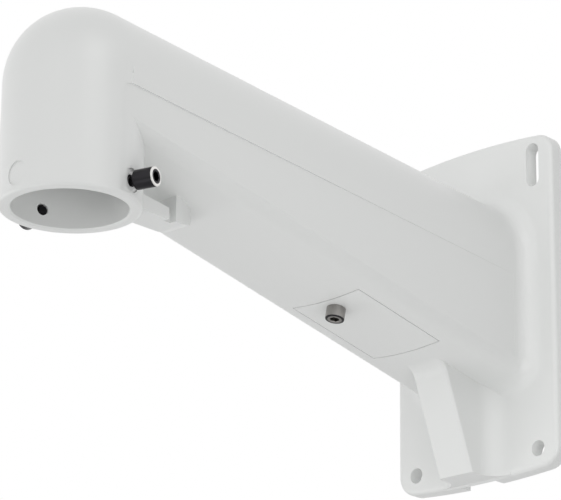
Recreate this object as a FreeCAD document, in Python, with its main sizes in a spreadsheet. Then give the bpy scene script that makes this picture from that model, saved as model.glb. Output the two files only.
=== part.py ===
import FreeCAD, Part
import math
import os
import Sketcher

doc = FreeCAD.newDocument("camera_wall_bracket")
vec = FreeCAD.Vector


class Size:
    """A number together with the cell expression that it comes from."""

    def __init__(self, value, text):
        self.value = float(value)
        self.text = text

    def __add__(self, other):
        o = as_size(other)
        return Size(self.value + o.value, f"({self.text} + {o.text})")

    def __radd__(self, other):
        return as_size(other) + self

    def __sub__(self, other):
        o = as_size(other)
        return Size(self.value - o.value, f"({self.text} - {o.text})")

    def __rsub__(self, other):
        return as_size(other) - self

    def __mul__(self, other):
        o = as_size(other)
        return Size(self.value * o.value, f"({self.text} * {o.text})")

    def __rmul__(self, other):
        return as_size(other) * self

    def __truediv__(self, other):
        o = as_size(other)
        return Size(self.value / o.value, f"({self.text} / {o.text})")

    def __rtruediv__(self, other):
        return as_size(other) / self

    def __neg__(self):
        return as_size(0) - self


def as_size(number):
    if isinstance(number, Size):
        return number
    if number < 0:
        return Size(number, f"(0 - {abs(number)})")
    return Size(number, f"{number}")


def sine(angle):
    return Size(math.sin(math.radians(angle.value)), f"sin({angle.text} * 1 deg)")


def cosine(angle):
    return Size(math.cos(math.radians(angle.value)), f"cos({angle.text} * 1 deg)")


def tangent(angle):
    return Size(math.tan(math.radians(angle.value)), f"tan({angle.text} * 1 deg)")


def root(size):
    return Size(math.sqrt(size.value), f"sqrt({size.text})")


# Sizes of the bracket in millimetres and degrees. The wall plane is Y = 0, the arm
# leaves it towards -Y, and the origin is the middle of the four bolt places.
sheet = doc.addObject("Spreadsheet::Sheet", "Dimensions")
row = [0]


def cell(alias, value):
    row[0] += 1
    sheet.set(f"A{row[0]}", alias)
    sheet.set(f"B{row[0]}", f"{value}")
    sheet.setAlias(f"B{row[0]}", alias)
    return Size(value, f"Dimensions.{alias}")


plate_width = cell("plate_width", 97.0)
plate_above = cell("plate_above", 84.1)
plate_below = cell("plate_below", 78.2)
plate_top_crown = cell("plate_top_crown", 3.0)
plate_bottom_crown = cell("plate_bottom_crown", 2.4)
plate_thickness = cell("plate_thickness", 7.8)
plate_corner_radius = cell("plate_corner_radius", 10.0)
plate_edge_radius = cell("plate_edge_radius", 2.4)
plate_rim_width = cell("plate_rim_width", 4.0)
plate_pocket_depth = cell("plate_pocket_depth", 3.6)

bolt_spacing_x = cell("bolt_spacing_x", 74.0)
bolt_spacing_z = cell("bolt_spacing_z", 140.0)
bolt_hole_diameter = cell("bolt_hole_diameter", 7.5)
bolt_slot_length = cell("bolt_slot_length", 22.0)
bolt_boss_wall = cell("bolt_boss_wall", 3.6)

collar_distance = cell("collar_distance", 269.8)
collar_radius = cell("collar_radius", 30.2)
collar_bore_diameter = cell("collar_bore_diameter", 49.5)
collar_drop = cell("collar_drop", 16.2)
rim_radius = cell("rim_radius", 1.8)
bore_edge = cell("bore_edge", 0.8)
bend_height = cell("bend_height", 38.6)
bend_radius = cell("bend_radius", 5.8)

arm_slope = cell("arm_slope", 4.8)
root_side_margin = cell("root_side_margin", 15.9)
arm_front_depth = cell("arm_front_depth", 31.0)
arm_root_depth = cell("arm_root_depth", 61.7)
arm_corner_radius = cell("arm_corner_radius", 8.0)
arm_crown_radius = cell("arm_crown_radius", 150.0)
arm_wall = cell("arm_wall", 4.6)
root_radius = cell("root_radius", 9.0)

recess_depth = cell("recess_depth", 0.8)
recess_end_depth = cell("recess_end_depth", 0.12)
recess_below_axis = cell("recess_below_axis", 10.3)
recess_corner_radius = cell("recess_corner_radius", 5.5)
recess_wall_gap = cell("recess_wall_gap", 18.0)

foot_width = cell("foot_width", 20.0)
foot_flare_width = cell("foot_flare_width", 40.0)
foot_low_reach = cell("foot_low_reach", 23.3)
foot_high_reach = cell("foot_high_reach", 38.0)
foot_high_drop = cell("foot_high_drop", 42.0)
foot_blend_radius = cell("foot_blend_radius", 10.0)
foot_edge_radius = cell("foot_edge_radius", 1.5)
foot_wall = cell("foot_wall", 4.0)
notch_width = cell("notch_width", 20.0)
notch_height = cell("notch_height", 4.0)
notch_reach = cell("notch_reach", 6.0)

lug_width = cell("lug_width", 15.0)
lug_drop = cell("lug_drop", 8.2)
lug_bar = cell("lug_bar", 4.6)
lug_bar_rise = cell("lug_bar_rise", 3.2)
lug_reach = cell("lug_reach", 76.0)
lug_post = cell("lug_post", 4.1)
lug_slot = cell("lug_slot", 4.0)
lug_hook = cell("lug_hook", 50.2)
lug_curve_radius = cell("lug_curve_radius", 23.0)
lug_web = cell("lug_web", 11.5)
lug_side = cell("lug_side", 3.6)
lug_tail = cell("lug_tail", 2.5)
lug_plan_radius = cell("lug_plan_radius", 22.0)

cover_width = cell("cover_width", 39.6)
cover_length = cell("cover_length", 56.0)
cover_middle = cell("cover_middle", 85.5)
cover_thickness = cell("cover_thickness", 2.6)
cover_gap = cell("cover_gap", 0.45)
seal_thickness = cell("seal_thickness", 0.8)
seal_border = cell("seal_border", 2.4)
seal_inset = cell("seal_inset", 0.3)
seat_height = cell("seat_height", 3.2)
seat_border = cell("seat_border", 2.2)
boss_diameter = cell("boss_diameter", 11.0)
boss_height = cell("boss_height", 12.6)
tongue_width = cell("tongue_width", 18.0)
tongue_wall = cell("tongue_wall", 1.8)
tongue_lip = cell("tongue_lip", 3.0)
tongue_gap = cell("tongue_gap", 0.4)
window_border = cell("window_border", 3.6)
window_screw_end = cell("window_screw_end", 13.0)

screw_thread = cell("screw_thread", 5.0)
screw_head = cell("screw_head", 8.5)
screw_head_height = cell("screw_head_height", 9.4)
screw_stand = cell("screw_stand", 2.2)
screw_socket = cell("screw_socket", 4.0)
screw_socket_depth = cell("screw_socket_depth", 3.0)
screw_tip_inset = cell("screw_tip_inset", 0.2)
screw_clearance = cell("screw_clearance", 0.1)
screw_chamfer = cell("screw_chamfer", 0.4)
screw_above_rim = cell("screw_above_rim", 8.0)
screw_angle = cell("screw_angle", 104.5)
spot_diameter = cell("spot_diameter", 10.6)
spot_depth = cell("spot_depth", 0.9)
cover_screw_head = cell("cover_screw_head", 8.8)
cover_screw_height = cell("cover_screw_height", 5.8)
cover_screw_inset = cell("cover_screw_inset", 7.4)
cover_screw_length = cell("cover_screw_length", 12.0)
cover_screw_thread = cell("cover_screw_thread", 4.0)
cover_screw_clearance = cell("cover_screw_clearance", 0.25)
doc.recompute()
arm_root_half_width = plate_width / 2 - root_side_margin


def bind(obj, prop, size):
    size = as_size(size)
    obj.setExpression(prop, size.text)


def plane(body, role):
    return [f for f in body.Origin.OriginFeatures if f.Role == role][0]


def new_sketch(body, name, role, base=(0, 0, 0), axis=None, angle=0):
    """Sketch on an origin plane, moved by base and turned about axis in its own frame."""
    sk = body.newObject("Sketcher::SketchObject", name)
    sk.AttachmentSupport = [(plane(body, role), "")]
    sk.MapMode = "FlatFace"
    base = [as_size(b) for b in base]
    angle = as_size(angle)
    turn = FreeCAD.Rotation(vec(*(axis or (0, 0, 1))), angle.value)
    sk.AttachmentOffset = FreeCAD.Placement(vec(*[b.value for b in base]), turn)
    for letter, size in zip("xyz", base):
        bind(sk, f"AttachmentOffset.Base.{letter}", size)
    if axis:
        bind(sk, "AttachmentOffset.Rotation.Angle", angle)
    return sk


def datum(sk, kind, *args):
    """Add a driving constraint whose value is bound to a size."""
    size = as_size(args[-1])
    index = sk.addConstraint(Sketcher.Constraint(kind, *args[:-1], size.value))
    sk.setExpression(f"Constraints[{index}]", size.text)
    return index


def tie(sk, *args):
    return sk.addConstraint(Sketcher.Constraint(*args))


def end_near(sk, geo, point):
    return 1 if (sk.getPoint(geo, 1) - point).Length < (sk.getPoint(geo, 2) - point).Length else 2


def path(sk, corners, arcs=None):
    """Closed outline through corners; arcs maps a side's number to (radius, turn).

    turn is +1 where the arc bows to the right of the way along, -1 to the left.
    """
    arcs = arcs or {}
    points = [vec(as_size(x).value, as_size(y).value, 0) for x, y in corners]
    count = len(points)
    geos = []
    for i in range(count):
        p = points[i]
        q = points[(i + 1) % count]
        if i in arcs:
            radius, turn = arcs[i]
            r = as_size(radius).value
            half = (q - p).Length / 2
            rise = r - math.sqrt(max(r * r - half * half, 0))
            way = (q - p).normalize()
            side = vec(way.y, -way.x, 0) * turn
            mid = (p + q) * 0.5 + side * rise
            geos.append(sk.addGeometry(Part.Arc(p, mid, q), False))
        else:
            geos.append(sk.addGeometry(Part.LineSegment(p, q), False))
    for i in range(count):
        a = geos[i]
        b = geos[(i + 1) % count]
        q = points[(i + 1) % count]
        tie(sk, "Coincident", a, end_near(sk, a, q), b, end_near(sk, b, q))
    for i in range(count):
        g = geos[i]
        k = end_near(sk, g, points[i])
        x, y = corners[i]
        if abs(as_size(x).value) < 1e-9:
            tie(sk, "PointOnObject", g, k, -2)
        else:
            datum(sk, "DistanceX", -1, 1, g, k, x)
        if abs(as_size(y).value) < 1e-9:
            tie(sk, "PointOnObject", g, k, -1)
        else:
            datum(sk, "DistanceY", -1, 1, g, k, y)
    for i, (radius, turn) in arcs.items():
        datum(sk, "Radius", geos[i], radius)
    return geos


def circle(sk, x, y, diameter):
    c = vec(as_size(x).value, as_size(y).value, 0)
    g = sk.addGeometry(Part.Circle(c, vec(0, 0, 1), as_size(diameter).value / 2), False)
    datum(sk, "Diameter", g, diameter)
    if abs(c.x) < 1e-9:
        tie(sk, "PointOnObject", g, 3, -2)
    else:
        datum(sk, "DistanceX", -1, 1, g, 3, x)
    if abs(c.y) < 1e-9:
        tie(sk, "PointOnObject", g, 3, -1)
    else:
        datum(sk, "DistanceY", -1, 1, g, 3, y)
    return g


def rectangle(sk, x0, x1, y0, y1):
    return path(sk, [(x0, y0), (x1, y0), (x1, y1), (x0, y1)])


def tall_slot(sk, x, y, width, length):
    """Upright slot with round ends, middle at x, y."""
    half = as_size(width) / 2
    run = (as_size(length) - width) / 2
    corners = [(x - half, y + run), (x - half, y - run), (x + half, y - run), (x + half, y + run)]
    return path(sk, corners, {1: (half * 1.0001, 1), 3: (half * 1.0001, 1)})


def pad(body, name, sk, length, symmetric=False, reverse=False, kind="PartDesign::Pad"):
    doc.recompute()
    if sk.solve() != 0:
        raise RuntimeError(f"{sk.Name} can't be solved")
    f = body.newObject(kind, name)
    f.Profile = sk
    if symmetric:
        f.SideType = "Symmetric"
    f.Reversed = reverse
    bind(f, "Length", length)
    sk.Visibility = False
    doc.recompute()
    return f


def pocket(body, name, sk, length, symmetric=False, reverse=False):
    before = body.Shape.Volume
    f = pad(body, name, sk, length, symmetric, reverse, "PartDesign::Pocket")
    if not body.Shape.Volume < before - 1e-6:
        raise RuntimeError(f"{name} removes nothing")
    return f


def loft(body, name, first, second, kind):
    f = body.newObject(kind, name)
    f.Profile = first
    f.Sections = [second]
    f.Ruled = True
    doc.recompute()
    return f


def turn_round(body, name, distance, corners, kind="PartDesign::Revolution"):
    """Turn an outline, drawn as radius and height, round an upright axis in the middle
    plane at the given distance from the wall."""
    sk = new_sketch(body, name + "_outline", "YZ_Plane", (-distance, 0, 0))
    path(sk, corners)
    doc.recompute()
    f = body.newObject(kind, name)
    f.Profile = sk
    f.ReferenceAxis = (sk, ["V_Axis"])
    f.Angle = 360
    sk.Visibility = False
    doc.recompute()
    return f


def edge_names(shape, test):
    return [f"Edge{i + 1}" for i, e in enumerate(shape.Edges) if test(e)]


def fillet(body, name, test, radius, kind="PartDesign::Fillet"):
    base = body.Tip
    names = edge_names(base.Shape, test)
    if not names:
        raise RuntimeError(f"{name} finds no edge")
    f = body.newObject(kind, name)
    f.Base = (base, names)
    if kind == "PartDesign::Fillet":
        bind(f, "Radius", radius)
    else:
        bind(f, "Size", radius)
    doc.recompute()
    if "Invalid" in f.State:
        raise RuntimeError(f"{name}: {f.getStatusString()} on {len(names)} edges")
    return f


def near(a, b, gap=1e-3):
    return abs(a - b) < gap


def samples(e, count=5):
    first, last = e.ParameterRange
    return [e.valueAt(first + (last - first) * i / (count - 1)) for i in range(count)]


# Arm casting.
casting = doc.addObject("PartDesign::Body", "arm_casting")
casting.Label = "arm_casting"

bend_y = collar_distance - bend_radius
arm_length = (bend_y + plate_thickness) / cosine(arm_slope)

# Lowest line of the underside in the middle plane.
under_y0 = (bend_radius - arm_front_depth) * sine(arm_slope) - bend_y
under_z0 = bend_height + (bend_radius - arm_front_depth) * cosine(arm_slope)
root_drop = bend_radius - arm_root_depth
under_y1 = arm_length * cosine(arm_slope) - bend_y + root_drop * sine(arm_slope)
under_z1 = bend_height - arm_length * sine(arm_slope) + root_drop * cosine(arm_slope)
under_rate = (under_z1 - under_z0) / (under_y1 - under_y0)
under_angle = Size(math.degrees(math.atan(-under_rate.value)), f"atan(0 - {under_rate.text})")
under_cos = Size(math.cos(math.radians(under_angle.value)), f"cos({under_angle.text})")
under_sin = Size(math.sin(math.radians(under_angle.value)), f"sin({under_angle.text})")


def under(y):
    return under_z0 + (as_size(y) - under_y0) * under_rate

# Lug for a safety rope, made first so that the arm closes over it: a bar from the collar's
# back, a post from the underside, and between them a web that leaves a slot open to the
# right side. Seen from below the post is rounded behind.
bar_start = -collar_distance + collar_radius - arm_wall * 0.6
bar_end = -collar_distance + lug_hook
post_front = bar_end + lug_slot
post_turn = post_front + lug_post
lug_back = -collar_distance + lug_reach
lug_low = -lug_drop
lug_high = lug_low + lug_bar
sk = new_sketch(casting, "lug_outline", "YZ_Plane")
path(sk, [(bar_start, lug_low), (post_turn, lug_low), (lug_back, under(lug_back) + arm_wall),
          (post_front, under(post_front) + arm_wall * 0.6), (post_front, lug_high),
          (bar_start, lug_high + lug_bar_rise)],
     {1: (lug_curve_radius, 1)})
pad(casting, "lug", sk, lug_width, symmetric=True)
sk = new_sketch(casting, "lug_slot_outline", "YZ_Plane", (0, 0, lug_width))
rectangle(sk, bar_end, post_front, lug_low - 1, lug_high + lug_bar_rise)
pocket(casting, "lug_slot_cut", sk, lug_width * 1.5 - lug_web)
sk = new_sketch(casting, "lug_plan_outline", "XY_Plane", (0, 0, lug_low - 1))
lug_half = lug_width / 2
path(sk, [(lug_half, post_front + lug_side), (lug_width, post_front + lug_side),
          (lug_width, lug_back + lug_width), (lug_tail - lug_half, lug_back + lug_width),
          (lug_tail - lug_half, lug_back - lug_tail)],
     {4: (lug_plan_radius, -1)})
pocket(casting, "lug_rounding", sk, lug_width * 2, reverse=True)

# Collar: upright cylinder from the rim up to the bend. The rim's edge is rounded in three
# steps of 30 degrees.
rim = []
for turn in (0, 30, 60, 90):
    turn = as_size(turn)
    rim.append((collar_radius - rim_radius * (1 - sine(turn)),
                rim_radius * (1 - cosine(turn)) - collar_drop))
turn_round(casting, "collar", collar_distance,
           [(0, -collar_drop)] + rim + [(collar_radius, bend_height), (0, bend_height)])

# Bend: part of a torus about the bend's own axis. Its tube is as wide as the collar and
# it turns from the collar's upright axis over to the arm, which falls towards the wall.
tube_limit = Size(90 + math.degrees(math.asin(bend_radius.value / collar_radius.value)),
                  f"(90 deg + asin({bend_radius.text} / {collar_radius.text}))")
bend = casting.newObject("PartDesign::AdditiveTorus", "bend")
bend.AttachmentSupport = [(plane(casting, "YZ_Plane"), "")]
bend.MapMode = "FlatFace"
bend.AttachmentOffset = FreeCAD.Placement(vec(-bend_y.value, bend_height.value, 0),
                                          FreeCAD.Rotation(vec(0, 1, 0), 180))
bind(bend, "AttachmentOffset.Base.x", -bend_y)
bind(bend, "AttachmentOffset.Base.y", bend_height)
bind(bend, "Radius1", bend_radius)
bind(bend, "Radius2", collar_radius)
bend.setExpression("Angle1", f"0 deg - {tube_limit.text}")
bend.setExpression("Angle2", tube_limit.text)
bind(bend, "Angle3", arm_slope + 90)
doc.recompute()


def section_sketch(name, along):
    """Sketch square to the arm's axis, at a distance along it from the bend."""
    y = bend_height - as_size(along) * sine(arm_slope)
    z = bend_y - as_size(along) * cosine(arm_slope)
    return new_sketch(casting, name, "XZ_Plane", (0, y, z), (-1, 0, 0), arm_slope)


def arm_section(name, along, half_width, depth, corner, crown):
    """Arm outline square to its axis: round top, straight sides, rounded lower corners
    and a crowned underside whose lowest point lies depth below the axis."""
    sk = section_sketch(name, along)
    w = half_width.value
    top = bend_radius.value
    low = top - depth.value
    rc = corner.value
    rk = crown.value
    cz = low + rk - math.sqrt((rk - rc) ** 2 - (w - rc) ** 2)
    lean = math.asin((w - rc) / (rk - rc))
    up = vec(0, 0, 1)
    a0 = sk.addGeometry(Part.ArcOfCircle(Part.Circle(vec(0, top, 0), up, w), 0, math.pi), False)
    l1 = sk.addGeometry(Part.LineSegment(vec(-w, top, 0), vec(-w, cz, 0)), False)
    c1 = Part.Circle(vec(-w + rc, cz, 0), up, rc)
    a1 = sk.addGeometry(Part.ArcOfCircle(c1, math.pi, 1.5 * math.pi - lean), False)
    c2 = Part.Circle(vec(0, low + rk, 0), up, rk)
    a2 = sk.addGeometry(Part.ArcOfCircle(c2, 1.5 * math.pi - lean, 1.5 * math.pi + lean), False)
    c3 = Part.Circle(vec(w - rc, cz, 0), up, rc)
    a3 = sk.addGeometry(Part.ArcOfCircle(c3, 1.5 * math.pi + lean, 2 * math.pi), False)
    l2 = sk.addGeometry(Part.LineSegment(vec(w, cz, 0), vec(w, top, 0)), False)
    tie(sk, "Tangent", a0, 2, l1, 1)
    tie(sk, "Tangent", l1, 2, a1, 1)
    tie(sk, "Tangent", a1, 2, a2, 1)
    tie(sk, "Tangent", a2, 2, a3, 1)
    tie(sk, "Tangent", a3, 2, l2, 1)
    tie(sk, "Coincident", l2, 2, a0, 1)
    tie(sk, "Vertical", l1)
    tie(sk, "Vertical", l2)
    tie(sk, "PointOnObject", a0, 3, -2)
    tie(sk, "PointOnObject", a2, 3, -2)
    tie(sk, "Equal", a1, a3)
    datum(sk, "DistanceY", -1, 1, a0, 3, bend_radius)
    datum(sk, "Radius", a0, half_width)
    datum(sk, "Radius", a1, corner)
    datum(sk, "Radius", a2, crown)
    datum(sk, "DistanceY", -1, 1, a2, 3, bend_radius - depth + crown)
    return sk


# The arm runs on behind the wall plane and is trimmed flush with it afterwards.
front = arm_section("arm_front_section", 0, collar_radius, arm_front_depth, arm_corner_radius,
                    arm_crown_radius)
rear = arm_section("arm_root_section", arm_length, arm_root_half_width, arm_root_depth,
                   arm_corner_radius, arm_crown_radius)
loft(casting, "arm", front, rear, "PartDesign::AdditiveLoft")


def crown_arc_radius(crown):
    return (plate_width * plate_width / 4 + crown * crown) / (crown * 2)


# Wall plate with arched upper and lower edge.
sk = new_sketch(casting, "plate_outline", "XZ_Plane")
half = plate_width / 2
path(sk, [(-half, -plate_below), (half, -plate_below), (half, plate_above), (-half, plate_above)],
     {0: (crown_arc_radius(plate_bottom_crown), 1), 2: (crown_arc_radius(plate_top_crown), 1)})
pad(casting, "plate", sk, plate_thickness)
hw = half.value
th = plate_thickness.value


def plate_front(e):
    middle = 0.7 * hw
    pts = samples(e)
    flat = all(near(p.y, -th, 0.01) for p in pts)
    return flat and all(abs(p.x) > middle or abs(p.z) > 62 for p in pts)


def plate_corner(e):
    b = e.BoundBox
    return near(b.YLength, th) and near(abs(b.XMin), hw) and near(b.XLength, 0) and near(b.ZLength, 0)


fillet(casting, "plate_corners", plate_corner, plate_corner_radius)
fillet(casting, "plate_front_round", plate_front, plate_edge_radius)
sk = new_sketch(casting, "wall_trim_outline", "XZ_Plane")
rectangle(sk, -plate_width, plate_width, -plate_width, plate_width)
pocket(casting, "wall_trim", sk, plate_width)


def root_edge(e):
    edge = plate_corner_radius.value / 2
    high = plate_above.value - edge
    low = edge - plate_below.value
    return all(near(p.y, -th, 0.01) and low < p.z < high and abs(p.x) < hw - 1 for p in samples(e))


fillet(casting, "root_round", root_edge, root_radius)

# Recessed flat on each side: from the collar's widest line back to the root, below a
# line parallel to the arm's axis. It runs out towards the root.
line_drop = bend_radius - recess_below_axis
line_y = -bend_y + line_drop * sine(arm_slope)
line_z = bend_height + line_drop * cosine(arm_slope)
flare = (arm_root_half_width - collar_radius) / arm_length
recess_rate = flare + (recess_depth - recess_end_depth) / (collar_distance - recess_wall_gap)


def line_height(y):
    return line_z - (y - line_y) * tangent(arm_slope)


def recess(name, side):
    x = (collar_radius - recess_depth) * side
    way = 1 if recess_rate.value > 0 else -1
    rate = recess_rate * way
    turn = Size(math.degrees(math.atan(rate.value)), f"atan({rate.text})")
    sk = new_sketch(casting, name + "_outline", "YZ_Plane", (-collar_distance, 0, x),
                    (0, -side * way, 0), turn)
    low = rim_radius - collar_drop
    end = collar_distance - recess_wall_gap
    r = recess_corner_radius
    # The upper left corner is an arc between the upright and the falling line.
    lean = cosine(arm_slope)
    reach = r * (1 + sine(arm_slope)) / lean
    y_top = line_height(-collar_distance)
    p1 = (as_size(0), y_top - reach)
    p2 = (reach * lean, y_top - reach * sine(arm_slope))
    corners = [(0, low), p1, p2, (end, line_height(-recess_wall_gap)), (end, -plate_below),
               (collar_radius * 2, low)]
    path(sk, corners, {1: (r, -1)})
    pocket(casting, name, sk, collar_radius, reverse=(side > 0))


recess("recess_right", 1)
recess("recess_left", -1)


# Cable foot under the root: a block with a sloping front face, and flares that run out
# onto the plate on both sides.
foot_bottom = -(plate_below + plate_bottom_crown * 0.6)
inside = -plate_thickness / 2
sk = new_sketch(casting, "foot_side_outline", "YZ_Plane")
foot_rate = (foot_high_reach - foot_low_reach) / (-foot_high_drop - foot_bottom)
top_z = under(-foot_high_reach) + arm_wall / 2
top_y = -foot_low_reach - (top_z - foot_bottom) * foot_rate
path(sk, [(inside, foot_bottom), (-foot_low_reach, foot_bottom), (top_y, top_z), (inside, top_z)])
pad(casting, "foot", sk, foot_width, symmetric=True)
fw = foot_width / 2
ff = foot_flare_width / 2
fr = ff - fw
front_y = -plate_thickness - fr
sk = new_sketch(casting, "foot_flare_outline", "XY_Plane", (0, 0, foot_bottom))
path(sk, [(-fw, front_y), (fw, front_y), (ff, -plate_thickness), (ff, inside), (-ff, inside),
          (-ff, -plate_thickness)],
     {1: (fr * 1.0001, -1), 5: (fr * 1.0001, -1)})
pad(casting, "foot_flare", sk, under(-plate_thickness - fr) + arm_wall * 0.6 - foot_bottom)
foot_front_x = fw.value


def foot_top_edge(e):
    pts = samples(e)
    y = -foot_high_reach.value
    return all(abs(p.x) < foot_front_x + 0.01 and abs(p.y - y) < 6 and p.z > -foot_high_drop.value
               for p in pts) and e.Length > foot_front_x and abs(pts[0].z - pts[-1].z) < 0.5


fillet(casting, "foot_blend", foot_top_edge, foot_blend_radius)


def foot_front_edge(e):
    pts = samples(e)
    side = all(near(abs(p.x), foot_front_x, 0.01) for p in pts)
    return side and e.Length > 20 and all(p.y < -foot_low_reach.value + 0.01 for p in pts)


fillet(casting, "foot_edges", foot_front_edge, foot_edge_radius)

# Inside of the collar, of the bend and of the arm.
bore_radius = collar_bore_diameter / 2
mouth = bore_radius + bore_edge + 1
roof_start = bend_height + bend_radius
roof_rise = bore_radius * 0.65
turn_round(casting, "bore", collar_distance,
           [(0, -collar_drop - 1), (mouth, -collar_drop - 1),
            (bore_radius, -collar_drop + bore_edge), (bore_radius, roof_start),
            (bore_radius - roof_rise, roof_start + roof_rise), (0, roof_start + roof_rise)],
           "PartDesign::Groove")


def cable_section(name, along, half_width, depth):
    """Arch with straight sides and a flat floor that lies depth below the arm's axis."""
    sk = section_sketch(name, along)
    w = half_width.value
    top = bend_radius.value
    low = top - depth.value
    round_top = Part.Circle(vec(0, top, 0), vec(0, 0, 1), w)
    arch = sk.addGeometry(Part.ArcOfCircle(round_top, 0, math.pi), False)
    left = sk.addGeometry(Part.LineSegment(vec(-w, top, 0), vec(-w, low, 0)), False)
    floor_line = sk.addGeometry(Part.LineSegment(vec(-w, low, 0), vec(w, low, 0)), False)
    right = sk.addGeometry(Part.LineSegment(vec(w, low, 0), vec(w, top, 0)), False)
    tie(sk, "Tangent", arch, 2, left, 1)
    tie(sk, "Coincident", left, 2, floor_line, 1)
    tie(sk, "Coincident", floor_line, 2, right, 1)
    tie(sk, "Tangent", right, 2, arch, 1)
    tie(sk, "Vertical", left)
    tie(sk, "Horizontal", floor_line)
    tie(sk, "Vertical", right)
    tie(sk, "PointOnObject", arch, 3, -2)
    datum(sk, "DistanceY", -1, 1, arch, 3, bend_radius)
    datum(sk, "Radius", arch, half_width)
    datum(sk, "DistanceY", -1, 1, floor_line, 1, bend_radius - depth)
    return sk


floor_wall = arm_wall + bore_radius * bore_radius / (arm_crown_radius * 4)
front = cable_section("arm_front_inside", 0, bore_radius, arm_front_depth - floor_wall)
rear = cable_section("arm_root_inside", arm_length, arm_root_half_width - arm_wall,
                     arm_root_depth - floor_wall)
loft(casting, "arm_inside", front, rear, "PartDesign::SubtractiveLoft")

# Duct inside the foot, open to the arm, to the wall and to the notch in the plate's edge.
floor = foot_bottom + foot_wall
duct_top = under(-foot_high_reach) + arm_wall * 1.3
behind = plate_thickness / 2
duct_low_y = -foot_low_reach + foot_wall
duct_top_y = duct_low_y - (duct_top - floor) * foot_rate
below = foot_bottom - foot_wall
sk = new_sketch(casting, "duct_outline", "YZ_Plane")
path(sk, [(behind, below), (-notch_reach, below), (-notch_reach, floor), (duct_low_y, floor),
          (duct_top_y, duct_top), (behind, duct_top)])
pocket(casting, "duct", sk, foot_width - foot_wall * 2, symmetric=True)
notch_top = -plate_below - plate_bottom_crown + notch_height
sk = new_sketch(casting, "notch_outline", "XZ_Plane")
rectangle(sk, -notch_width / 2, notch_width / 2, below, notch_top)
pocket(casting, "notch", sk, notch_reach, reverse=True)

# Back of the plate: hollowed between solid corner pads and an outer rim.
sk = new_sketch(casting, "plate_back_outline", "XZ_Plane")
rim_x = plate_width / 2 - plate_rim_width
pad_x = bolt_spacing_x / 2 - bolt_hole_diameter / 2 - bolt_boss_wall
low_z = -plate_below + plate_rim_width + notch_height
low_pad = -bolt_spacing_z / 2 + bolt_hole_diameter / 2 + bolt_boss_wall
high_pad = bolt_spacing_z / 2 - bolt_slot_length / 2 - bolt_boss_wall
high_z = plate_above - plate_rim_width
path(sk, [(-pad_x, low_z), (pad_x, low_z), (pad_x, low_pad), (rim_x, low_pad), (rim_x, high_pad),
          (pad_x, high_pad), (pad_x, high_z), (-pad_x, high_z), (-pad_x, high_pad),
          (-rim_x, high_pad), (-rim_x, low_pad), (-pad_x, low_pad)])
pocket(casting, "plate_back", sk, plate_pocket_depth, reverse=True)

# Bolt places: round holes below, upright slots above.
sk = new_sketch(casting, "bolt_holes_outline", "XZ_Plane")
circle(sk, -bolt_spacing_x / 2, -bolt_spacing_z / 2, bolt_hole_diameter)
circle(sk, bolt_spacing_x / 2, -bolt_spacing_z / 2, bolt_hole_diameter)
pocket(casting, "bolt_holes", sk, plate_thickness * 2, symmetric=True)
sk = new_sketch(casting, "bolt_slots_outline", "XZ_Plane")
tall_slot(sk, -bolt_spacing_x / 2, bolt_spacing_z / 2, bolt_hole_diameter, bolt_slot_length)
tall_slot(sk, bolt_spacing_x / 2, bolt_spacing_z / 2, bolt_hole_diameter, bolt_slot_length)
pocket(casting, "bolt_slots", sk, plate_thickness * 2, symmetric=True)

# Spot faces round the collar; the two side ones carry the clamping screws.
spot_z = screw_above_rim - collar_drop
spot_radius = collar_radius - spot_depth
start = collar_radius + spot_diameter / 2


def round_the_collar(name, side, radius, inner, width):
    """Round pocket square to the collar's axis, from radius in to inner."""
    base = (radius * sine(screw_angle) * side, spot_z,
            collar_distance + radius * cosine(screw_angle))
    turn = screw_angle
    if side == 0:
        base = (0, spot_z, collar_distance + radius)
        turn = 0
    sk = new_sketch(casting, name + "_circle", "XZ_Plane", base, (0, side or 1, 0), turn)
    circle(sk, 0, 0, width)
    pocket(casting, name, sk, radius - inner)


for side, tag in ((1, "right"), (-1, "left"), (0, "front")):
    round_the_collar(f"spot_{tag}", side, start, spot_radius, spot_diameter)
thread_hole = screw_thread + screw_clearance * 2
for side, tag in ((1, "right"), (-1, "left")):
    round_the_collar(f"thread_{tag}", side, start, bore_radius - spot_depth * 2, thread_hole)

# Seat of the access cover, on a plane along the underside: a slab and a screw boss inside
# the arm, then the recess, the window and the screw hole.
seat_base = (0, -cover_middle, under(-cover_middle))


def seat_sketch(name, lift=0):
    lift = as_size(lift)
    base = (0, seat_base[1] + lift * under_sin, seat_base[2] + lift * under_cos)
    return new_sketch(casting, name, "XY_Plane", base, (-1, 0, 0), under_angle)


recess_floor = cover_thickness + seal_thickness
cw = cover_width / 2 + cover_gap
cl = cover_length / 2 + cover_gap
screw_y = cover_screw_inset - cover_length / 2
sk = seat_sketch("seat_outline", arm_wall * 0.5)
rectangle(sk, -cw - seat_border, cw + seat_border, -cl - seat_border, cl + seat_border)
pad(casting, "seat", sk, recess_floor + seat_height - arm_wall * 0.5)
sk = seat_sketch("boss_circle", recess_floor)
circle(sk, 0, screw_y, boss_diameter)
pad(casting, "boss", sk, boss_height - recess_floor)
sk = seat_sketch("cover_recess_outline", -cover_thickness)
rectangle(sk, -cw, cw, -cl, cl)
pocket(casting, "cover_recess", sk, recess_floor + cover_thickness, reverse=True)
win_x = cover_width / 2 - window_border
win_front = window_screw_end - cover_length / 2
win_back = cover_length / 2 - window_border
sk = seat_sketch("window_outline")
rectangle(sk, -win_x, win_x, win_front, win_back)
pocket(casting, "window", sk, boss_height, reverse=True)
sk = seat_sketch("cover_screw_hole_circle")
circle(sk, 0, screw_y, cover_screw_thread + screw_clearance * 2)
pocket(casting, "cover_screw_hole", sk, boss_height - cover_screw_clearance * 2, reverse=True)


def new_body(name):
    body = doc.addObject("PartDesign::Body", name)
    body.Label = name
    return body


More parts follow.
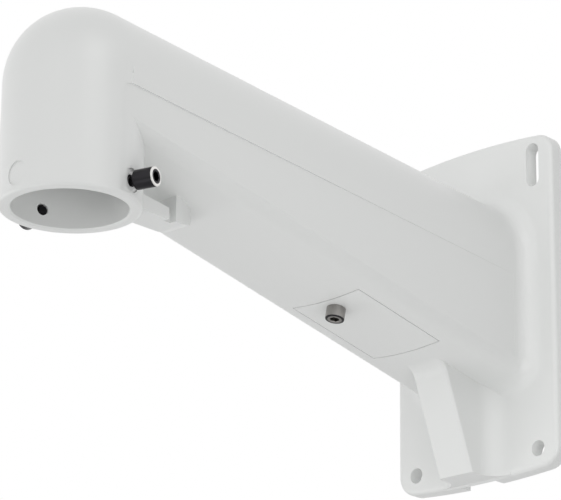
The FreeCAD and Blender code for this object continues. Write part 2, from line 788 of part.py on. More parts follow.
def place(body, base, axis, angle):
    base = [as_size(b) for b in base]
    angle = as_size(angle)
    turn = FreeCAD.Rotation(vec(*axis), angle.value)
    body.Placement = FreeCAD.Placement(vec(*[b.value for b in base]), turn)
    for letter, size in zip("xyz", base):
        bind(body, f"Placement.Base.{letter}", size)
    bind(body, "Placement.Rotation.Angle", angle)


def hexagon(sk, x, y, across):
    """Hexagon with its flats square to the local x, given across the flats."""
    half = as_size(across) / 2
    tall = half * 2 / root(as_size(3))
    path(sk, [(half + x, tall / 2 + y), (as_size(0) + x, tall + y), (-half + x, tall / 2 + y),
              (-half + x, -tall / 2 + y), (as_size(0) + x, -tall + y), (half + x, -tall / 2 + y)])


# Access cover: crowned like the underside, with a tongue that hooks over the seat behind.
# Its origin is the middle of its outer face, Z into the arm and Y along the arm.
cover = new_body("access_cover")
sk = new_sketch(cover, "cover_outline", "XZ_Plane")
edge_rise = arm_crown_radius - root(arm_crown_radius * arm_crown_radius - cover_width * cover_width / 4)
path(sk, [(-cover_width / 2, edge_rise), (cover_width / 2, edge_rise),
          (cover_width / 2, cover_thickness), (-cover_width / 2, cover_thickness)],
     {0: (arm_crown_radius, 1)})
pad(cover, "cover_panel", sk, cover_length, symmetric=True)
sk = new_sketch(cover, "tongue_outline", "YZ_Plane")
tongue_y = cover_length / 2 - window_border - tongue_gap
lip_low = recess_floor + seat_height + tongue_gap
path(sk, [(tongue_y - tongue_wall, cover_thickness / 2), (tongue_y, cover_thickness / 2),
          (tongue_y, lip_low), (tongue_y + tongue_lip, lip_low),
          (tongue_y + tongue_lip, lip_low + tongue_wall), (tongue_y - tongue_wall, lip_low + tongue_wall)])
pad(cover, "tongue", sk, tongue_width, symmetric=True)
sk = new_sketch(cover, "cover_hole_circle", "XY_Plane")
circle(sk, 0, screw_y, cover_screw_thread + cover_screw_clearance * 2)
pocket(cover, "cover_hole", sk, cover_thickness * 2, reverse=True)
place(cover, seat_base, (-1, 0, 0), under_angle)

# Seal: a thin frame squeezed between the cover and its seat.
seal = new_body("cover_seal")
sk = new_sketch(seal, "seal_outline", "XY_Plane")
sx = cover_width / 2 - seal_inset
sy = cover_length / 2 - seal_inset
rectangle(sk, -sx, sx, -sy, sy)
rectangle(sk, -sx + seal_border, sx - seal_border, -sy + seal_border, sy - seal_border)
pad(seal, "seal_frame", sk, seal_thickness)
place(seal, (0, seat_base[1] + cover_thickness * under_sin,
             seat_base[2] + cover_thickness * under_cos), (-1, 0, 0), under_angle)


def socket_screw(name, head, height, thread, length):
    """Screw lying along Y with its head towards -Y; the head's seat is at Y = 0."""
    body = new_body(name)
    sk = new_sketch(body, name + "_head_circle", "XZ_Plane")
    circle(sk, 0, 0, head)
    pad(body, name + "_head", sk, height)
    sk = new_sketch(body, name + "_shank_circle", "XZ_Plane")
    circle(sk, 0, 0, thread)
    pad(body, name + "_shank", sk, length, reverse=True)
    sk = new_sketch(body, name + "_socket_outline", "XZ_Plane", (0, 0, height))
    hexagon(sk, 0, 0, screw_socket)
    pocket(body, name + "_socket", sk, screw_socket_depth)
    low = -height.value

    def head_edge(e):
        return all(near(p.y, low, 0.01) and math.hypot(p.x, p.z) > 0.45 * head.value
                   for p in samples(e))

    fillet(body, name + "_edge", head_edge, screw_chamfer, "PartDesign::Chamfer")
    return body


# Cover screw: its head stands on the cover's outer face.
cover_screw = socket_screw("cover_screw", cover_screw_head, cover_screw_height, cover_screw_thread,
                           cover_screw_length)
place(cover_screw, (0, seat_base[1] + screw_y * under_cos, seat_base[2] - screw_y * under_sin),
      (1, 0, 0), Size(90, "90 deg") - under_angle)

# Collar screws: they stand off the spot faces and reach through to the bore.
head_radius = spot_radius + screw_stand
collar_length = head_radius - bore_radius - screw_tip_inset
collar_screws = []
for side, tag in ((1, "right"), (-1, "left")):
    screw = socket_screw(f"collar_screw_{tag}", screw_head, screw_head_height, screw_thread,
                         collar_length)
    place(screw, (head_radius * sine(screw_angle) * side,
                  -collar_distance - head_radius * cosine(screw_angle), spot_z),
          (0, 0, side), screw_angle)
    collar_screws.append(screw)

doc.recompute()
for item in doc.Objects:
    if "Invalid" in item.State or "Error" in item.State:
        raise RuntimeError(f"{item.Name} is not up to date: {item.State}")
os.makedirs("parts", exist_ok=True)
nodes = [casting, cover, seal, cover_screw] + collar_screws
for node in nodes:
    shape = node.Shape
    if shape.isNull() or not shape.isValid() or len(shape.Solids) != 1:
        raise RuntimeError(f"{node.Label} has no single valid solid")
    shape.exportStep(f"parts/{node.Label}.step")
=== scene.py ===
import math

import bmesh
import bpy
from mathutils import Matrix, Vector


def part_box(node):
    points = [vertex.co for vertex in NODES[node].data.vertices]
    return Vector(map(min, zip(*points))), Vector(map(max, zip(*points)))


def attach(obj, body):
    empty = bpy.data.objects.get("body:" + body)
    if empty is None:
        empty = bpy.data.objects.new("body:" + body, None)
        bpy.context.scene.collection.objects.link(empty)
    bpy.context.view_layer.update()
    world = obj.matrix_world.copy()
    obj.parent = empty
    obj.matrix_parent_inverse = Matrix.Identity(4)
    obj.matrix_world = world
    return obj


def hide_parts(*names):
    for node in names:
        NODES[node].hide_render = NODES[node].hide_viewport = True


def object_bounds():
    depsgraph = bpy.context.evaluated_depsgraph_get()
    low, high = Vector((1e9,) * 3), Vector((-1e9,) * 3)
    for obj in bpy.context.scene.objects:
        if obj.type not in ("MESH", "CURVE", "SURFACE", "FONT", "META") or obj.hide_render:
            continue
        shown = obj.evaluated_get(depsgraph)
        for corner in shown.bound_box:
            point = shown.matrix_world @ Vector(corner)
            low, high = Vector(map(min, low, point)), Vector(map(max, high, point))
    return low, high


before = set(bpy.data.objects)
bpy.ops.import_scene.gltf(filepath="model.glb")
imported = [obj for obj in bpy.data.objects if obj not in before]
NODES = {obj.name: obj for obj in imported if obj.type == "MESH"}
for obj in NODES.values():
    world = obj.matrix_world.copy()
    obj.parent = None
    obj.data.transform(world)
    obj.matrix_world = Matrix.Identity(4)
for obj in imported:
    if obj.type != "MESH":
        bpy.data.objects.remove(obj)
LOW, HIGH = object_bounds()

bl_info = {
    "name": "Camera wall bracket",
    "version": (1, 0, 0),
    "blender": (4, 5, 0),
    "location": "View3D > Sidebar > Bracket",
    "description": "Dresses the cast camera bracket and sets it in a pale studio",
    "category": "Object",
}

MM = 0.001

# Work on the solids' meshes. Angles are in degrees.
WELD = 2e-6  # points closer than this are joined
NEAR = 0.02 * MM  # a point this close to a surface lies on it
SLACK = 0.01 * MM
SOFT_ANGLE = 26  # faces that meet at less than this are shaded as one
TRUE_ANGLE = 20  # most that a face turns away from the round surface it stands for
OWN_WEIGHT = 0.001  # keeps a corner's normal from being zero

# Screws. The edge is the bevel of the head and of the tip.
SCREW_EDGE = 0.4 * MM
SHARP_ANGLE = 35
SHANK_RATIO = 0.84  # shank to thread
SOCKET_MOUTH = 1.08  # socket's width at its chamfer, to its width
SOCKET_FLOOR = 0.45  # height of the socket's floor, to the head's
SOCKET_POINT = 0.2  # depth of the drill point, to the socket's width
RIDGE_PLACE = 0.86  # radius of the ridge's middle, to the thread's
RIDGE_RADIUS = 0.135
RIDGE_SIDES = 4
RIDGE_STEPS = 28  # steps of the ridge in one turn
RIDGE_START = 0.5 * MM  # above the screw's tip
RIDGE_SHORTER = 0.9 * MM  # than the shank
SCREW_SIDES = 48
TURNS = [2 * math.pi * i / SCREW_SIDES for i in range(SCREW_SIDES)]

# Stage, in metres. A lamp has a name, a width, a place and an aim.
FLOOR_DROP = 0.55
FLOOR_HALF = 3
FLOOR_COLOUR = (0.86, 0.86, 0.86)
LAMPS = (
    ("upper", 0.3, (0.4, -0.3, 0.3), (0.03, -0.02, 0.0)),
    ("right", 0.3, (0.45, -0.25, -0.25), (0.03, -0.02, 0.0)),
    ("left", 0.5, (-0.9, -0.6, -0.45), (0.0, -0.15, -0.02)),
    ("low", 0.5, (0.0, -0.75, -0.55), (0.0, -0.27, 0.0)),
)

# Camera, fitted to the photo. The focal length and the width are in the photo's pixels.
FOCAL_PIXELS = 2957.4
PHOTO_WIDTH = 561
SENSOR_WIDTH = 36.0
CAMERA_ANGLES = (43.461, 19.546, 0.552)  # azimuth, height and roll in degrees
CAMERA_PLACE = Vector((854.48, -1044.3, -441.09)) * MM
CLIP_START = 0.05
CLIP_END = 50


# Sizes, colours and light levels that a user would change.


class BracketSizes(bpy.types.PropertyGroup):
    collar_distance: bpy.props.FloatProperty(
        name="Collar distance", description="Collar axis in front of the wall plane",
        default=269.8 * MM, unit="LENGTH")
    collar_radius: bpy.props.FloatProperty(
        name="Collar radius", description="Outer radius of the collar and the bend",
        default=30.2 * MM, unit="LENGTH")
    bore_radius: bpy.props.FloatProperty(
        name="Bore radius", description="Inner radius of the collar",
        default=24.75 * MM, unit="LENGTH")
    collar_drop: bpy.props.FloatProperty(
        name="Collar drop", description="Depth of the rim below the plate's middle",
        default=16.2 * MM, unit="LENGTH")
    rim_radius: bpy.props.FloatProperty(
        name="Rim rounding", description="Radius of the rim's outer edge",
        default=1.8 * MM, unit="LENGTH")
    bend_height: bpy.props.FloatProperty(
        name="Bend height", description="Height of the bend's own axis",
        default=38.6 * MM, unit="LENGTH")
    bend_radius: bpy.props.FloatProperty(
        name="Bend radius", description="From the bend's axis to the tube's middle",
        default=5.8 * MM, unit="LENGTH")
    arm_slope: bpy.props.FloatProperty(
        name="Arm slope", description="Fall of the arm towards the wall",
        default=math.radians(4.8), subtype="ANGLE")
    arm_growth: bpy.props.FloatProperty(
        name="Arm growth", description="Gain in half width for each unit of length",
        default=2.4 / 272.7)
    collar_screw_angle: bpy.props.FloatProperty(
        name="Collar screw angle", description="Angle of a collar screw from the front",
        default=math.radians(104.5), subtype="ANGLE")
    screw_head: bpy.props.FloatProperty(
        name="Collar screw head", description="Diameter of a collar screw's head",
        default=8.5 * MM, unit="LENGTH")
    screw_head_height: bpy.props.FloatProperty(
        name="Collar screw head height", description="Height of a collar screw's head",
        default=9.4 * MM, unit="LENGTH")
    screw_thread: bpy.props.FloatProperty(
        name="Collar screw thread", description="Outer diameter of its thread",
        default=5.0 * MM, unit="LENGTH")
    screw_pitch: bpy.props.FloatProperty(
        name="Thread pitch", description="Rise of the screw thread in one turn",
        default=0.8 * MM, unit="LENGTH")
    cover_screw_head: bpy.props.FloatProperty(
        name="Cover screw head", description="Diameter of the cover screw's head",
        default=8.8 * MM, unit="LENGTH")
    cover_screw_height: bpy.props.FloatProperty(
        name="Cover screw head height", description="Height of the cover screw's head",
        default=5.8 * MM, unit="LENGTH")
    cover_screw_thread: bpy.props.FloatProperty(
        name="Cover screw thread", description="Outer diameter of its thread",
        default=4.0 * MM, unit="LENGTH")
    cover_slope: bpy.props.FloatProperty(
        name="Cover slope", description="Fall of the underside towards the wall",
        default=math.radians(11.222), subtype="ANGLE")
    # The band is where light is painted: a highlight on the collar screws, shade on the
    # cover screw.
    screw_band: bpy.props.FloatProperty(
        name="Screw band", description="Width of the band round a screw head's edge",
        default=1.1 * MM, unit="LENGTH")
    socket_width: bpy.props.FloatProperty(
        name="Socket width", description="Hexagon socket of the screws, across flats",
        default=4.0 * MM, unit="LENGTH")
    peel_size: bpy.props.FloatProperty(
        name="Paint grain", description="Spacing of the paint's fine waviness",
        default=1.6 * MM, unit="LENGTH")


class BracketColours(bpy.types.PropertyGroup):
    paint: bpy.props.FloatVectorProperty(
        name="Paint", description="Powder coat on the casting and the cover",
        default=(0.80, 0.81, 0.80), subtype="COLOR", min=0, max=1)
    rubber: bpy.props.FloatVectorProperty(
        name="Seal", description="Rubber of the cover's seal",
        default=(0.03, 0.03, 0.03), subtype="COLOR", min=0, max=1)
    # The collar screws' own black. The same colour is also painted shade on the cover
    # screw's band, to darken its face.
    black_and_painted_shade: bpy.props.FloatVectorProperty(
        name="Blackened steel and painted shade", description="Collar screws and the cover screw's band",
        default=(0.035, 0.034, 0.037), subtype="COLOR", min=0, max=1)
    # Painted highlight: this light colour on the band round the collar screws' heads stands
    # for the shine of their bevels.
    steel: bpy.props.FloatVectorProperty(
        name="Painted highlight", description="Band of painted highlight round the collar screws' heads",
        default=(0.78, 0.77, 0.75), subtype="COLOR", min=0, max=1)
    grey: bpy.props.FloatVectorProperty(
        name="Grey steel", description="Cover screw without its band",
        default=(0.30, 0.29, 0.28), subtype="COLOR", min=0, max=1)
    left_light: bpy.props.FloatProperty(
        name="Left light", description="Level of the surroundings on the left",
        default=0.4, min=0)
    front_light: bpy.props.FloatProperty(
        name="Front light", description="Level of the surroundings in front",
        default=1.45, min=0)
    back_light: bpy.props.FloatProperty(
        name="Back light", description="Level of the surroundings behind the wall plane",
        default=1.3, min=0)
    top_light: bpy.props.FloatProperty(
        name="Top light", description="Level of the surroundings above",
        default=0.85, min=0)
    upper_power: bpy.props.FloatProperty(
        name="Upper lamp", description="Power of the soft lamp above the plate",
        default=0.4, unit="POWER")
    right_power: bpy.props.FloatProperty(
        name="Right lamp", description="Power of the soft lamp beside the plate",
        default=0.55, unit="POWER")
    left_power: bpy.props.FloatProperty(
        name="Left lamp", description="Power of the soft lamp on the left",
        default=1.4, unit="POWER")
    low_power: bpy.props.FloatProperty(
        name="Low lamp", description="Power of the soft lamp below the collar",
        default=0.5, unit="POWER")


def sizes():
    return bpy.context.scene.bracket_sizes


def colours():
    return bpy.context.scene.bracket_colours


# Shader maths and nodes.


class Wire:
    """An output socket that takes part in sums and products."""

    def __init__(self, build, socket):
        self.build = build
        self.socket = socket

    def maths(self, operation, other):
        return self.build.node("ShaderNodeMath", {"operation": operation},
                               {0: self, 1: other})

    def __add__(self, other):
        return self.maths("ADD", other)

    def __mul__(self, other):
        return self.maths("MULTIPLY", other)

    def at_least(self, other):
        return self.maths("MAXIMUM", other)


class Finish:
    """Adds the nodes of a material or world one by one."""

    def __init__(self, owner):
        owner.use_nodes = True
        self.nodes = owner.node_tree.nodes
        self.links = owner.node_tree.links
        self.nodes.clear()

    def node(self, kind, settings=None, inputs=None, out=0):
        made = self.nodes.new(kind)
        for key, value in (settings or {}).items():
            setattr(made, key, value)
        for key, value in (inputs or {}).items():
            if isinstance(value, Wire):
                self.links.new(value.socket, made.inputs[key])
            else:
                made.inputs[key].default_value = value
        return Wire(self, made.outputs[out]) if made.outputs else None


def opaque(colour):
    return (colour[0], colour[1], colour[2], 1)


def surface(name, colour, roughness, metallic=0.0, coat=0.0):
    """Material with a Principled shader; returns it, its builder and the shader's wire."""
    made = bpy.data.materials.new(name)
    build = Finish(made)
    shader = build.node("ShaderNodeBsdfPrincipled", None, {
        "Base Color": opaque(colour), "Roughness": roughness, "Metallic": metallic,
        "Coat Weight": coat, "Coat Roughness": 0.3})
    build.node("ShaderNodeOutputMaterial", None, {"Surface": shader})
    return made, build, shader


def powder_coat(name):
    """Satin paint with a fine waviness."""
    made, build, shader = surface(name, colours().paint, roughness=0.42, coat=0.5)
    place = build.node("ShaderNodeTexCoord", out="Object")
    grain = build.node("ShaderNodeTexNoise", None, {
        "Vector": place, "Scale": 1 / sizes().peel_size, "Detail": 2.0, "Roughness": 0.5})
    bump = build.node("ShaderNodeBump", None, {
        "Height": grain, "Strength": 0.06, "Distance": 0.05 * MM})
    build.links.new(bump.socket, shader.socket.node.inputs["Normal"])
    return made


def rubber():
    return surface("seal_rubber", colours().rubber, roughness=0.8)[0]


def screw_finishes():
    """Finishes of body and band: those of the collar screws, then the cover screw's. The
    band is painted light: a painted highlight on the collar screws, painted shade on the
    cover screw.
    """
    look = colours()
    black_and_painted_shade = surface("black_oxide", look.black_and_painted_shade, roughness=0.3, metallic=1.0)[0]
    painted_glint = surface("bare_steel", look.steel, roughness=0.22, metallic=1.0)[0]
    grey = surface("grey_steel", look.grey, roughness=0.3, metallic=1.0)[0]
    return (black_and_painted_shade, painted_glint), (grey, black_and_painted_shade)


# The casting and the cover: the solids' meshes with better corner normals.


def new_piece(name, mesh, *materials):
    made = bpy.data.objects.new(name, mesh)
    bpy.context.scene.collection.objects.link(made)
    for material in materials:
        made.data.materials.append(material)
    return made


def replace_solid(piece, node):
    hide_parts(node)
    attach(piece, "root")


def shade_smooth(mesh):
    for face in mesh.polygons:
        face.use_smooth = True


def arm_lines():
    """Middle of the bend's axis, the arm's direction and the one square to it."""
    size = sizes()
    bend = Vector((0, size.bend_radius - size.collar_distance, size.bend_height))
    along = Vector((0, math.cos(size.arm_slope), -math.sin(size.arm_slope)))
    above = Vector((0, math.sin(size.arm_slope), math.cos(size.arm_slope)))
    return bend, along, above


def round_surfaces():
    """One function for each round surface of the casting. It gives the surface's normal
    at a point that lies on it, and None for other points."""
    size = sizes()
    radius = size.collar_radius
    axis = Vector((0, -size.collar_distance, 0))
    bend, along, above = arm_lines()

    def away_from_axis(point):
        return Vector((point.x, point.y - axis.y, 0))

    def collar(point):
        out = away_from_axis(point)
        if abs(out.length - radius) < NEAR and point.z < size.bend_height + NEAR:
            return out.normalized()

    def bore(point):
        out = away_from_axis(point)
        if abs(out.length - size.bore_radius) < NEAR:
            return -out.normalized()

    def rim(point):
        out = away_from_axis(point).normalized() * (radius - size.rim_radius)
        away = point - axis - out - Vector((0, 0, size.rim_radius - size.collar_drop))
        if abs(away.length - size.rim_radius) < NEAR and away.z < NEAR:
            return away.normalized()

    def elbow(point):
        turn = Vector((0, point.y - bend.y, point.z - bend.z))
        out = turn * (1 - size.bend_radius / max(turn.length, NEAR))
        out.x = point.x
        if abs(out.length - radius) < NEAR:
            return out.normalized()

    def arm(point):
        place = point - bend
        run = place.dot(along)
        out = above * max(place.dot(above) - size.bend_radius, 0)
        out.x = point.x
        if abs(out.length - radius - run * size.arm_growth) < NEAR:
            return (out.normalized() - along * size.arm_growth).normalized()

    return collar, bore, rim, elbow, arm


def close_step(mesh):
    """Move the end of the bend's side, a little inside the arm's flat side, onto it."""
    size = sizes()
    bend, along, above = arm_lines()
    inside = math.sqrt(size.collar_radius ** 2 - size.bend_radius ** 2) - SLACK
    for vertex in mesh.vertices:
        place = vertex.co - bend
        at_end = abs(place.dot(along)) < NEAR and place.dot(above) < size.bend_radius
        if at_end and inside < abs(vertex.co.x) < size.collar_radius:
            vertex.co.x = math.copysign(size.collar_radius, vertex.co.x)


def soft_normals(mesh):
    """Corner normals: each is the mean, by area, of those faces round its vertex that
    turn away from its own face by less than the soft angle."""
    limit = math.cos(math.radians(SOFT_ANGLE))
    facing = [face.normal.copy() for face in mesh.polygons]
    areas = [face.area for face in mesh.polygons]
    around = [[] for _ in mesh.vertices]
    for face in mesh.polygons:
        for vertex in face.vertices:
            around[vertex].append(face.index)
    corners = []
    for face in mesh.polygons:
        own = facing[face.index]
        for vertex in face.vertices:
            total = own * areas[face.index] * OWN_WEIGHT
            for other in around[vertex]:
                if facing[other].dot(own) > limit:
                    total += facing[other] * areas[other]
            corners.append(total.normalized())
    return corners


def true_normals(mesh):
    """Give the mesh soft normals, and the true ones on its round surfaces."""
    corners = soft_normals(mesh)
    rounds = round_surfaces()
    closeness = math.cos(math.radians(TRUE_ANGLE))
    known = []
    for vertex in mesh.vertices:
        normals = (normal_at(vertex.co) for normal_at in rounds)
        known.append([normal for normal in normals if normal])
    for face in mesh.polygons:
        for loop in face.loop_indices:
            for normal in known[mesh.loops[loop].vertex_index]:
                if normal.dot(face.normal) > closeness:
                    corners[loop] = normal
    mesh.normals_split_custom_set(corners)


def merged_copy(node, name):
    """Copy of a solid's mesh with its loose triangles joined and smoothed."""
    mesh = NODES[node].data.copy()
    mesh.name = name
    mesh.materials.clear()
    form = bmesh.new()
    form.from_mesh(mesh)
    bmesh.ops.remove_doubles(form, verts=form.verts, dist=WELD)
    form.to_mesh(mesh)
    form.free()
    shade_smooth(mesh)
    close_step(mesh)
    true_normals(mesh)
    return mesh


# The screws. A screw's kind is its head's diameter and height and its thread's diameter.


def ring(form, radius, height):
    return [form.verts.new((radius * math.cos(turn), radius * math.sin(turn), height))
            for turn in TURNS]


def hexagon_ring(form, width, height):
    """Points along a hexagon, in the same directions as a ring's."""
    points = []
    for turn in TURNS:
        local = (turn + math.pi / 6) % (math.pi / 3) - math.pi / 6
        reach = width / 2 / math.cos(local)
        place = (reach * math.cos(turn), reach * math.sin(turn), height)
        points.append(form.verts.new(place))
    return points


def bridge(form, low, high, finish):
    for i in range(SCREW_SIDES):
        j = (i + 1) % SCREW_SIDES
        form.faces.new((low[i], low[j], high[j], high[i])).material_index = finish


def screw_form(kind, length):
    """Socket screw along Z: the head stands on Z = 0, the shank hangs below it. The band
    round the head's edge has the second material, which is a painted highlight on the
    collar screws and painted shade on the cover screw, and the rest the first."""
    head, height, thread = kind
    size = sizes()
    form = bmesh.new()
    side = head / 2
    core = thread / 2 * SHANK_RATIO
    edge = SCREW_EDGE
    half = edge * 0.5
    bevel = edge * 0.3
    floor = height * SOCKET_FLOOR
    outer = [ring(form, *place) for place in (
        (core - edge, -length), (core, -length + edge), (core, 0),
        (side - half, 0), (side, half), (side, height - edge))]
    band = outer[-1:] + [ring(form, *place) for place in (
        (side - bevel, height - bevel), (side - edge, height),
        (side - size.screw_band, height))]
    socket = band[-1:] + [hexagon_ring(form, *place) for place in (
        (size.socket_width * SOCKET_MOUTH, height), (size.socket_width, height - half),
        (size.socket_width, floor))]
    for part, finish in ((outer, 0), (band, 1), (socket, 0)):
        for low, high in zip(part, part[1:]):
            bridge(form, low, high, finish)
    form.faces.new(list(reversed(outer[0])))
    point = form.verts.new((0, 0, floor - size.socket_width * SOCKET_POINT))
    deep = socket[-1]
    for i in range(SCREW_SIDES):
        form.faces.new((deep[i], deep[(i + 1) % SCREW_SIDES], point))
    return form


def thread_tree():
    """Geometry nodes: a thread ridge swept along a spiral."""
    tree = bpy.data.node_groups.new("screw_thread", "GeometryNodeTree")
    face = tree.interface
    face.new_socket("Geometry", in_out="INPUT", socket_type="NodeSocketGeometry")
    for name in ("Radius", "Pitch", "Length"):
        face.new_socket(name, in_out="INPUT", socket_type="NodeSocketFloat")
    face.new_socket("Material", in_out="INPUT", socket_type="NodeSocketMaterial")
    face.new_socket("Geometry", in_out="OUTPUT", socket_type="NodeSocketGeometry")

    def node(kind, inputs):
        made = tree.nodes.new(kind)
        for key, value in inputs.items():
            if isinstance(value, bpy.types.NodeSocket):
                tree.links.new(value, made.inputs[key])
            else:
                made.inputs[key].default_value = value
        return made

    def maths(operation, a, b):
        made = node("ShaderNodeMath", {0: a, 1: b})
        made.operation = operation
        return made.outputs[0]

    given = node("NodeGroupInput", {}).outputs
    middle = maths("MULTIPLY", given["Radius"], RIDGE_PLACE)
    spiral = node("GeometryNodeCurveSpiral", {
        "Resolution": RIDGE_STEPS, "Height": given["Length"],
        "Rotations": maths("DIVIDE", given["Length"], given["Pitch"]),
        "Start Radius": middle, "End Radius": middle})
    ridge = node("GeometryNodeCurvePrimitiveCircle", {
        "Resolution": RIDGE_SIDES,
        "Radius": maths("MULTIPLY", given["Radius"], RIDGE_RADIUS)})
    sweep = node("GeometryNodeCurveToMesh", {
        "Curve": spiral.outputs[0], "Profile Curve": ridge.outputs[0], "Fill Caps": True})
    real = node("GeometryNodeRealizeInstances", {0: sweep.outputs[0]})
    paint = node("GeometryNodeSetMaterial", {
        "Geometry": real.outputs[0], "Material": given["Material"]})
    node("NodeGroupOutput", {0: paint.outputs[0]})
    return tree


def grown(tree, values):
    """Plain mesh of a geometry-node tree with the named inputs set."""
    holder = bpy.data.objects.new("holder", bpy.data.meshes.new("holder"))
    bpy.context.scene.collection.objects.link(holder)
    modifier = holder.modifiers.new("grow", "NODES")
    modifier.node_group = tree
    for item in tree.interface.items_tree:
        is_input = item.item_type == "SOCKET" and item.in_out == "INPUT"
        if is_input and item.name in values:
            modifier[item.identifier] = values[item.name]
    graph = bpy.context.evaluated_depsgraph_get()
    mesh = bpy.data.meshes.new_from_object(holder.evaluated_get(graph))
    holder.modifiers.clear()
    bpy.data.objects.remove(holder)
    return mesh


def screw_mesh(name, kind, length, place, tree, material):
    """Whole screw with its thread, moved to its place."""
    form = screw_form(kind, length)
    ridge = grown(tree, {"Radius": kind[2] / 2, "Pitch": sizes().screw_pitch,
                         "Length": length - RIDGE_SHORTER, "Material": material})
    ridge.transform(Matrix.Translation((0, 0, -length + RIDGE_START)))
    form.from_mesh(ridge)
    bmesh.ops.recalc_face_normals(form, faces=form.faces)
    mesh = bpy.data.meshes.new(name)
    form.to_mesh(mesh)
    form.free()
    mesh.transform(place)
    shade_smooth(mesh)
    mesh.set_sharp_from_angle(angle=math.radians(SHARP_ANGLE))
    return mesh


def shank_length(run, lean, kind):
    """Length of the shank of a screw whose leaning box is run long."""
    head, height, thread = kind
    across = math.sqrt(max(1 - lean * lean, 0))
    return (run - (head + thread) / 2 * across) / lean - height


# Operators, one for each piece or group.


class BRACKET_OT_casting(bpy.types.Operator):
    """Paint the cast arm with its collar, plate, foot and lug"""

    bl_idname = "bracket.casting"
    bl_label = "Casting"

    def execute(self, context):
        mesh = merged_copy("arm_casting", "casting_skin")
        piece = new_piece("casting_skin", mesh, powder_coat("casting_paint"))
        replace_solid(piece, "arm_casting")
        return {"FINISHED"}


class BRACKET_OT_cover(bpy.types.Operator):
    """Paint the access cover and give its seal a rubber finish"""

    bl_idname = "bracket.cover"
    bl_label = "Cover and seal"

    def execute(self, context):
        mesh = merged_copy("access_cover", "cover_panel")
        piece = new_piece("cover_panel", mesh, powder_coat("cover_paint"))
        replace_solid(piece, "access_cover")
        seal = NODES["cover_seal"]
        seal.data.materials.clear()
        seal.data.materials.append(rubber())
        return {"FINISHED"}


class BRACKET_OT_screws(bpy.types.Operator):
    """Make the two collar screws and the cover screw with their threads"""

    bl_idname = "bracket.screws"
    bl_label = "Screws"

    def execute(self, context):
        size = sizes()
        tree = thread_tree()
        # The bands carry painted light: a highlight on the collar screws, shade on the
        # cover screw.
        finishes, cover_finishes = screw_finishes()

        kind = (size.screw_head, size.screw_head_height, size.screw_thread)
        turn = size.collar_screw_angle
        for side, tag in ((1, "right"), (-1, "left")):
            node = f"collar_screw_{tag}"
            low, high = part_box(node)
            out = Vector((math.sin(turn) * side, -math.cos(turn), 0))
            length = shank_length((high - low).x, abs(out.x), kind)
            seat = (low + high) / 2 + out * ((length - size.screw_head_height) / 2)
            self.add(node, kind, length, seat, out, tree, finishes)

        kind = (size.cover_screw_head, size.cover_screw_height, size.cover_screw_thread)
        low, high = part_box("cover_screw")
        down = Vector((0, -math.sin(size.cover_slope), -math.cos(size.cover_slope)))
        length = shank_length((high - low).z, abs(down.z), kind)
        # The box's top is the edge of the shank's end, and its lowest Y that of the head.
        thread_half = size.cover_screw_thread / 2 * abs(down.y)
        seat_z = high.z - thread_half + length * down.z
        head_y = low.y + size.cover_screw_head / 2 * abs(down.z)
        seat = Vector((0, head_y - down.y * size.cover_screw_height, seat_z))
        self.add("cover_screw", kind, length, seat, down, tree, cover_finishes)
        return {"FINISHED"}

    def add(self, node, kind, length, seat, out, tree, finishes):
        """Make one screw in place of a solid. Its head points out from the seat."""
        turn = out.to_track_quat("Z", "X").to_matrix().to_4x4()
        place = Matrix.Translation(seat) @ turn
        name = node + "_piece"
        mesh = screw_mesh(name, kind, length, place, tree, finishes[0])
        replace_solid(new_piece(name, mesh, *finishes), node)


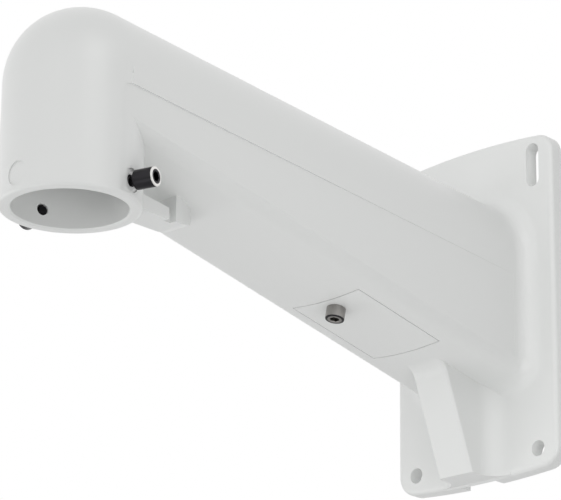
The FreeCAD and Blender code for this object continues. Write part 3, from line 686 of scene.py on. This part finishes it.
class BRACKET_OT_stage(bpy.types.Operator):
    """Add the pale floor, the soft light, the white surroundings and the camera"""

    bl_idname = "bracket.stage"
    bl_label = "Stage"

    def execute(self, context):
        scene = context.scene
        look = colours()
        scene.view_settings.view_transform = "Standard"
        scene.world = self.surroundings(look)
        floor = self.floor()
        lamps = [self.lamp(scene, look, *values) for values in LAMPS]
        camera = self.camera(scene)
        return {"FINISHED"}

    def surroundings(self, look):
        """World that lights each side by its own level and shows as white."""
        world = bpy.data.worlds.new("studio_surround")
        build = Finish(world)
        place = build.node("ShaderNodeTexCoord")
        split = build.node("ShaderNodeSeparateXYZ", None, {0: place})
        parts = split.socket.node.outputs

        def side(axis, level):
            """Light from along an axis (1, 2 or 3, or its negative for the other way)."""
            towards = Wire(build, parts[abs(axis) - 1]) * math.copysign(1, axis)
            towards = towards.at_least(0)
            return towards * towards * level

        light = side(-1, look.left_light) + side(-2, look.front_light)
        light = light + side(2, look.back_light) + side(3, look.top_light)
        ray = build.node("ShaderNodeLightPath").socket.node.outputs
        seen = Wire(build, ray["Is Camera Ray"]).at_least(Wire(build, ray["Is Glossy Ray"]))
        seen = seen.at_least(Wire(build, ray["Is Transmission Ray"]))
        glow = build.node("ShaderNodeBackground", None, {"Strength": light})
        white = build.node("ShaderNodeBackground", None, {
            "Color": (1, 1, 1, 1), "Strength": 1.0})
        both = build.node("ShaderNodeMixShader", None, {0: seen, 1: glow, 2: white})
        build.node("ShaderNodeOutputWorld", None, {"Surface": both})
        return world

    def floor(self):
        mesh = bpy.data.meshes.new("pale_floor")
        form = bmesh.new()
        half = FLOOR_HALF
        form.faces.new([form.verts.new((x, y, LOW.z - FLOOR_DROP)) for x, y in (
            (-half, -half), (half, -half), (half, half), (-half, half))])
        form.to_mesh(mesh)
        form.free()
        paint = surface("floor_paint", FLOOR_COLOUR, roughness=0.9)[0]
        return new_piece("pale_floor", mesh, paint)

    def lamp(self, scene, look, tag, width, place, aim):
        """Square soft lamp that points at a place."""
        name = tag + "_lamp"
        light = bpy.data.lights.new(name, "AREA")
        light.size = width
        light.energy = getattr(look, tag + "_power")
        made = bpy.data.objects.new(name, light)
        made.location = place
        turn = Vector(aim) - Vector(place)
        made.rotation_euler = turn.to_track_quat("-Z", "Y").to_euler()
        made.visible_camera = False
        scene.collection.objects.link(made)
        return made

    def camera(self, scene):
        lens = bpy.data.cameras.new("photo_camera")
        lens.sensor_width = SENSOR_WIDTH
        lens.lens = SENSOR_WIDTH * FOCAL_PIXELS / PHOTO_WIDTH
        lens.clip_start = CLIP_START
        lens.clip_end = CLIP_END
        made = bpy.data.objects.new("photo_camera", lens)
        azimuth, height, roll = (math.radians(angle) for angle in CAMERA_ANGLES)
        forward = Vector((-math.sin(azimuth) * math.cos(height),
                          math.cos(azimuth) * math.cos(height), math.sin(height)))
        level_right = Vector((math.cos(azimuth), math.sin(azimuth), 0))
        level_up = level_right.cross(forward)
        right = level_right * math.cos(roll) + level_up * math.sin(roll)
        up = level_up * math.cos(roll) - level_right * math.sin(roll)
        made.rotation_euler = Matrix((right, up, -forward)).transposed().to_euler()
        made.location = CAMERA_PLACE
        scene.collection.objects.link(made)
        scene.camera = made
        return made


class BRACKET_PT_pieces(bpy.types.Panel):
    """Lists the operators, the sizes, the colours and the light levels"""

    bl_idname = "BRACKET_PT_pieces"
    bl_label = "Camera wall bracket"
    bl_space_type = "VIEW_3D"
    bl_region_type = "UI"
    bl_category = "Bracket"

    def draw(self, context):
        column = self.layout.column()
        for step in STEPS:
            column.operator(step.bl_idname)
        for group in (context.scene.bracket_sizes, context.scene.bracket_colours):
            for name in group.bl_rna.properties.keys():
                if name not in ("rna_type", "name"):
                    column.prop(group, name)


STEPS = (BRACKET_OT_casting, BRACKET_OT_cover, BRACKET_OT_screws, BRACKET_OT_stage)
CLASSES = (BracketSizes, BracketColours) + STEPS + (BRACKET_PT_pieces,)


def register():
    for kind in CLASSES:
        bpy.utils.register_class(kind)
    bpy.types.Scene.bracket_sizes = bpy.props.PointerProperty(type=BracketSizes)
    bpy.types.Scene.bracket_colours = bpy.props.PointerProperty(type=BracketColours)


def unregister():
    del bpy.types.Scene.bracket_colours
    del bpy.types.Scene.bracket_sizes
    for kind in reversed(CLASSES):
        bpy.utils.unregister_class(kind)


def main():
    register()
    bpy.ops.bracket.casting()
    bpy.ops.bracket.cover()
    bpy.ops.bracket.screws()
    bpy.ops.bracket.stage()


if __name__ == "__main__":
    main()
